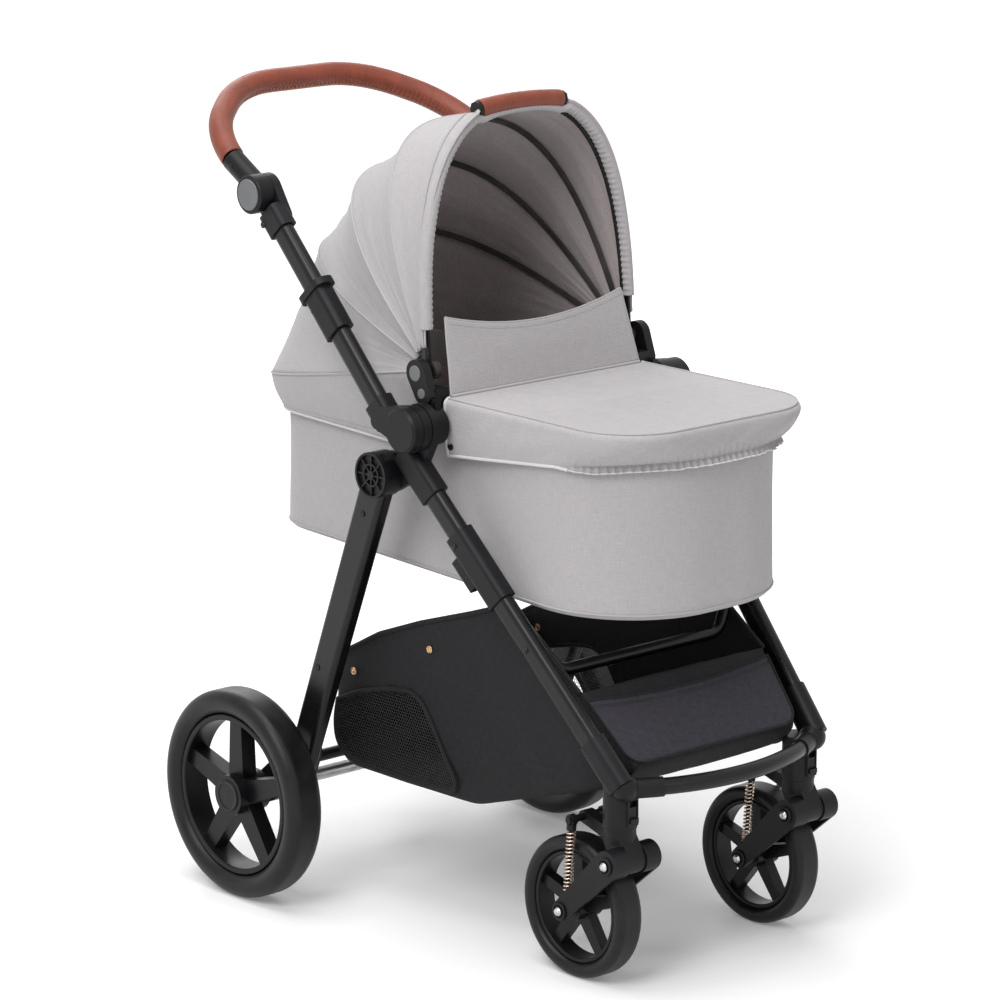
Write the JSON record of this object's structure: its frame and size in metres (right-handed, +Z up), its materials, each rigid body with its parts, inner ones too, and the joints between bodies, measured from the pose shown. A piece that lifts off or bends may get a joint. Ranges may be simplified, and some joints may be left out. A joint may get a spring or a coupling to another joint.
{
  "type": "baby stroller",
  "caption": "Folding pram chassis with swivelling sprung front wheels, adjustable leather handle, storage basket and lift-off carrycot with folding hood and apron.",
  "frame": {"origin": "centre of the footprint's bounding box, on the floor", "axes": "+Z up, -Y the way the stroller faces (forward), +X the stroller's left"},
  "size_m": [0.594, 0.8815, 1.0512],
  "materials": {
    "frame_paint": "satin black anodised",
    "black_plastic": "fine grain",
    "grey_plastic": "satin",
    "rim_plastic": "satin",
    "tyre_rubber": "matt",
    "axle_steel": "zinc plated",
    "coil_steel": "copper toned",
    "cognac_leather": "pebbled, stitched",
    "basket_cloth": "woven with mesh panels",
    "slate_cloth": "woven",
    "heather_cloth": "heather weave",
    "mattress_cloth": "quilted"
  },
  "bodies": {
    "chassis": {"lower_tubes": "frame_paint", "hub_housings": "black_plastic", "adapter_hubs": "black_plastic", "lower_brackets": "black_plastic", "front_cross_bar": "frame_paint", "front_corners": "black_plastic", "u_bar": "frame_paint", "basket": "basket_cloth", "basket_pocket": "slate_cloth"},
    "upper_frame": {"upper_tubes": "frame_paint", "upper_knuckles": "black_plastic", "handle_joints": "black_plastic"},
    "handlebar": {"handle_tube": "frame_paint", "handle_grip": "cognac_leather", "handle_pivots": "black_plastic"},
    "rear_frame": {"rear_legs": "frame_paint", "leg_hub_caps": "black_plastic", "rear_feet": "black_plastic", "rear_axle": "axle_steel", "rear_cross_bar": "frame_paint"},
    "brake_pedal": {"brake_pedal": "black_plastic"},
    "carrycot": {"cot_tub": "heather_cloth", "hood_band": "heather_cloth", "mattress": "mattress_cloth", "apron": "heather_cloth", "cot_mounts": "black_plastic"},
    "wind_flap": {"wind_flap": "heather_cloth"},
    "hood_rear": {"hood_bow_rear": "black_plastic", "hood_gore_4": "heather_cloth"},
    "hood_middle": {"hood_bow_middle": "black_plastic", "hood_gore_3": "heather_cloth"},
    "hood_inner": {"hood_bow_inner": "black_plastic", "hood_gore_2": "heather_cloth"},
    "hood_front": {"front_bow": "black_plastic", "hood_gore_1": "heather_cloth", "hood_grip": "cognac_leather"},
    "handle_button_left": {"handle_button_left": "grey_plastic"},
    "fold_slider_left": {"fold_slider_left": "black_plastic"},
    "rear_wheel_left": {"rear_tyre_left": "tyre_rubber", "rear_rim_left": "rim_plastic"},
    "caster_left": {"caster_fork_left": "black_plastic", "springs_left": "coil_steel"},
    "swivel_lock_left": {"swivel_lock_left": "black_plastic"},
    "front_arm_left": {"front_arm_left": "black_plastic"},
    "front_wheel_left": {"front_tyre_left": "tyre_rubber", "front_rim_left": "rim_plastic"},
    "release_button_left": {"release_button_left": "grey_plastic"},
    "hood_button_left": {"hood_button_left": "grey_plastic"},
    "handle_button_right": {"handle_button_right": "grey_plastic"},
    "fold_slider_right": {"fold_slider_right": "black_plastic"},
    "rear_wheel_right": {"rear_tyre_right": "tyre_rubber", "rear_rim_right": "rim_plastic"},
    "caster_right": {"caster_fork_right": "black_plastic", "springs_right": "coil_steel"},
    "swivel_lock_right": {"swivel_lock_right": "black_plastic"},
    "front_arm_right": {"front_arm_right": "black_plastic"},
    "front_wheel_right": {"front_tyre_right": "tyre_rubber", "front_rim_right": "rim_plastic"},
    "release_button_right": {"release_button_right": "grey_plastic"},
    "hood_button_right": {"hood_button_right": "grey_plastic"}
  },
  "joints": [
    {"name": "fold", "type": "hinge", "parent": "chassis", "child": "upper_frame", "pos_m": [0, -0.0595, 0.658], "axis": [1, 0, 0], "range_deg": [0, 175], "deforming": ["basket"]},
    {"name": "rear_fold", "type": "hinge", "parent": "chassis", "child": "rear_frame", "pos_m": [0, -0.0015, 0.592], "axis": [1, 0, 0], "range_deg": [-45, 0], "deforming": ["basket"]},
    {"name": "handle_tilt", "type": "hinge", "parent": "upper_frame", "child": "handlebar", "pos_m": [0, 0.23926, 0.91406], "axis": [-1, 0, 0], "range_deg": [-55, 50]},
    {"name": "brake_press", "type": "hinge", "parent": "rear_frame", "child": "brake_pedal", "pos_m": [0, 0.2185, 0.1375], "axis": [-1, 0, 0], "range_deg": [0, 18]},
    {"name": "cot_lift", "type": "slide", "parent": "chassis", "child": "carrycot", "axis": [0, 0, 1], "range_m": [0, 0.25]},
    {"name": "flap_fold", "type": "hinge", "parent": "carrycot", "child": "wind_flap", "pos_m": [0, -0.0673, 0.6923], "axis": [1, 0, 0], "range_deg": [0, 94]},
    {"name": "hood_fold_rear", "type": "hinge", "parent": "carrycot", "child": "hood_rear", "pos_m": [0, -0.0375, 0.721], "axis": [-1, 0, 0], "range_deg": [0, 12], "deforming": ["hood_gore_4"]},
    {"name": "hood_fold_middle", "type": "hinge", "parent": "hood_rear", "child": "hood_middle", "pos_m": [0, -0.0375, 0.721], "axis": [-1, 0, 0], "range_deg": [0, 12], "deforming": ["hood_gore_3"]},
    {"name": "hood_fold_inner", "type": "hinge", "parent": "hood_middle", "child": "hood_inner", "pos_m": [0, -0.0375, 0.721], "axis": [-1, 0, 0], "range_deg": [0, 12], "deforming": ["hood_gore_2"]},
    {"name": "hood_fold_front", "type": "hinge", "parent": "hood_inner", "child": "hood_front", "pos_m": [0, -0.0375, 0.721], "axis": [-1, 0, 0], "range_deg": [0, 12], "deforming": ["hood_gore_1"]},
    {"name": "handle_press_left", "type": "slide", "parent": "handlebar", "child": "handle_button_left", "axis": [-1, 0, 0], "range_m": [0, 0.0035], "stiffness_N_per_m": 900, "springref_m": -0.001},
    {"name": "fold_trigger_left", "type": "slide", "parent": "upper_frame", "child": "fold_slider_left", "axis": [0, 0.6921, 0.7218], "range_m": [0, 0.018], "stiffness_N_per_m": 600, "springref_m": -0.004},
    {"name": "rear_spin_left", "type": "hinge", "parent": "rear_frame", "child": "rear_wheel_left", "pos_m": [0.271, 0.2185, 0.1375], "axis": [1, 0, 0], "continuous": true},
    {"name": "caster_swivel_left", "type": "hinge", "parent": "chassis", "child": "caster_left", "pos_m": [0.1545, -0.3695, 0.206], "axis": [0, 0, 1], "continuous": true},
    {"name": "swivel_lock_left", "type": "slide", "parent": "chassis", "child": "swivel_lock_left", "axis": [0, 0, 1], "range_m": [0, 0.008]},
    {"name": "suspension_left", "type": "hinge", "parent": "caster_left", "child": "front_arm_left", "pos_m": [0.1545, -0.3845, 0.167], "axis": [1, 0, 0], "range_deg": [0, 8], "stiffness_Nm_per_rad": 60, "springref_deg": -6.88, "deforming": ["springs_left"]},
    {"name": "front_spin_left", "type": "hinge", "parent": "front_arm_left", "child": "front_wheel_left", "pos_m": [0.1545, -0.3035, 0.09], "axis": [1, 0, 0], "continuous": true},
    {"name": "cot_release_left", "type": "slide", "parent": "carrycot", "child": "release_button_left", "axis": [-1, 0, 0], "range_m": [0, 0.003], "stiffness_N_per_m": 900, "springref_m": -0.001},
    {"name": "hood_release_left", "type": "slide", "parent": "carrycot", "child": "hood_button_left", "axis": [-1, 0, 0], "range_m": [0, 0.003], "stiffness_N_per_m": 900, "springref_m": -0.001},
    {"name": "handle_press_right", "type": "slide", "parent": "handlebar", "child": "handle_button_right", "axis": [1, 0, 0], "range_m": [0, 0.0035], "stiffness_N_per_m": 900, "springref_m": -0.001},
    {"name": "fold_trigger_right", "type": "slide", "parent": "upper_frame", "child": "fold_slider_right", "axis": [0, 0.6921, 0.7218], "range_m": [0, 0.018], "stiffness_N_per_m": 600, "springref_m": -0.004},
    {"name": "rear_spin_right", "type": "hinge", "parent": "rear_frame", "child": "rear_wheel_right", "pos_m": [-0.271, 0.2185, 0.1375], "axis": [1, 0, 0], "continuous": true},
    {"name": "caster_swivel_right", "type": "hinge", "parent": "chassis", "child": "caster_right", "pos_m": [-0.1545, -0.3695, 0.206], "axis": [0, 0, 1], "continuous": true},
    {"name": "swivel_lock_right", "type": "slide", "parent": "chassis", "child": "swivel_lock_right", "axis": [0, 0, 1], "range_m": [0, 0.008]},
    {"name": "suspension_right", "type": "hinge", "parent": "caster_right", "child": "front_arm_right", "pos_m": [-0.1545, -0.3845, 0.167], "axis": [1, 0, 0], "range_deg": [0, 8], "stiffness_Nm_per_rad": 60, "springref_deg": -6.88, "deforming": ["springs_right"]},
    {"name": "front_spin_right", "type": "hinge", "parent": "front_arm_right", "child": "front_wheel_right", "pos_m": [-0.1545, -0.3035, 0.09], "axis": [1, 0, 0], "continuous": true},
    {"name": "cot_release_right", "type": "slide", "parent": "carrycot", "child": "release_button_right", "axis": [1, 0, 0], "range_m": [0, 0.003], "stiffness_N_per_m": 900, "springref_m": -0.001},
    {"name": "hood_release_right", "type": "slide", "parent": "carrycot", "child": "hood_button_right", "axis": [1, 0, 0], "range_m": [0, 0.003], "stiffness_N_per_m": 900, "springref_m": -0.001}
  ],
  "couplings": [
    {"joint": "rear_fold", "follows": "fold", "ratio": -0.257},
    {"joint": "hood_fold_middle", "follows": "hood_fold_rear", "ratio": 1},
    {"joint": "hood_fold_inner", "follows": "hood_fold_rear", "ratio": 1},
    {"joint": "hood_fold_front", "follows": "hood_fold_rear", "ratio": 1}
  ]
}
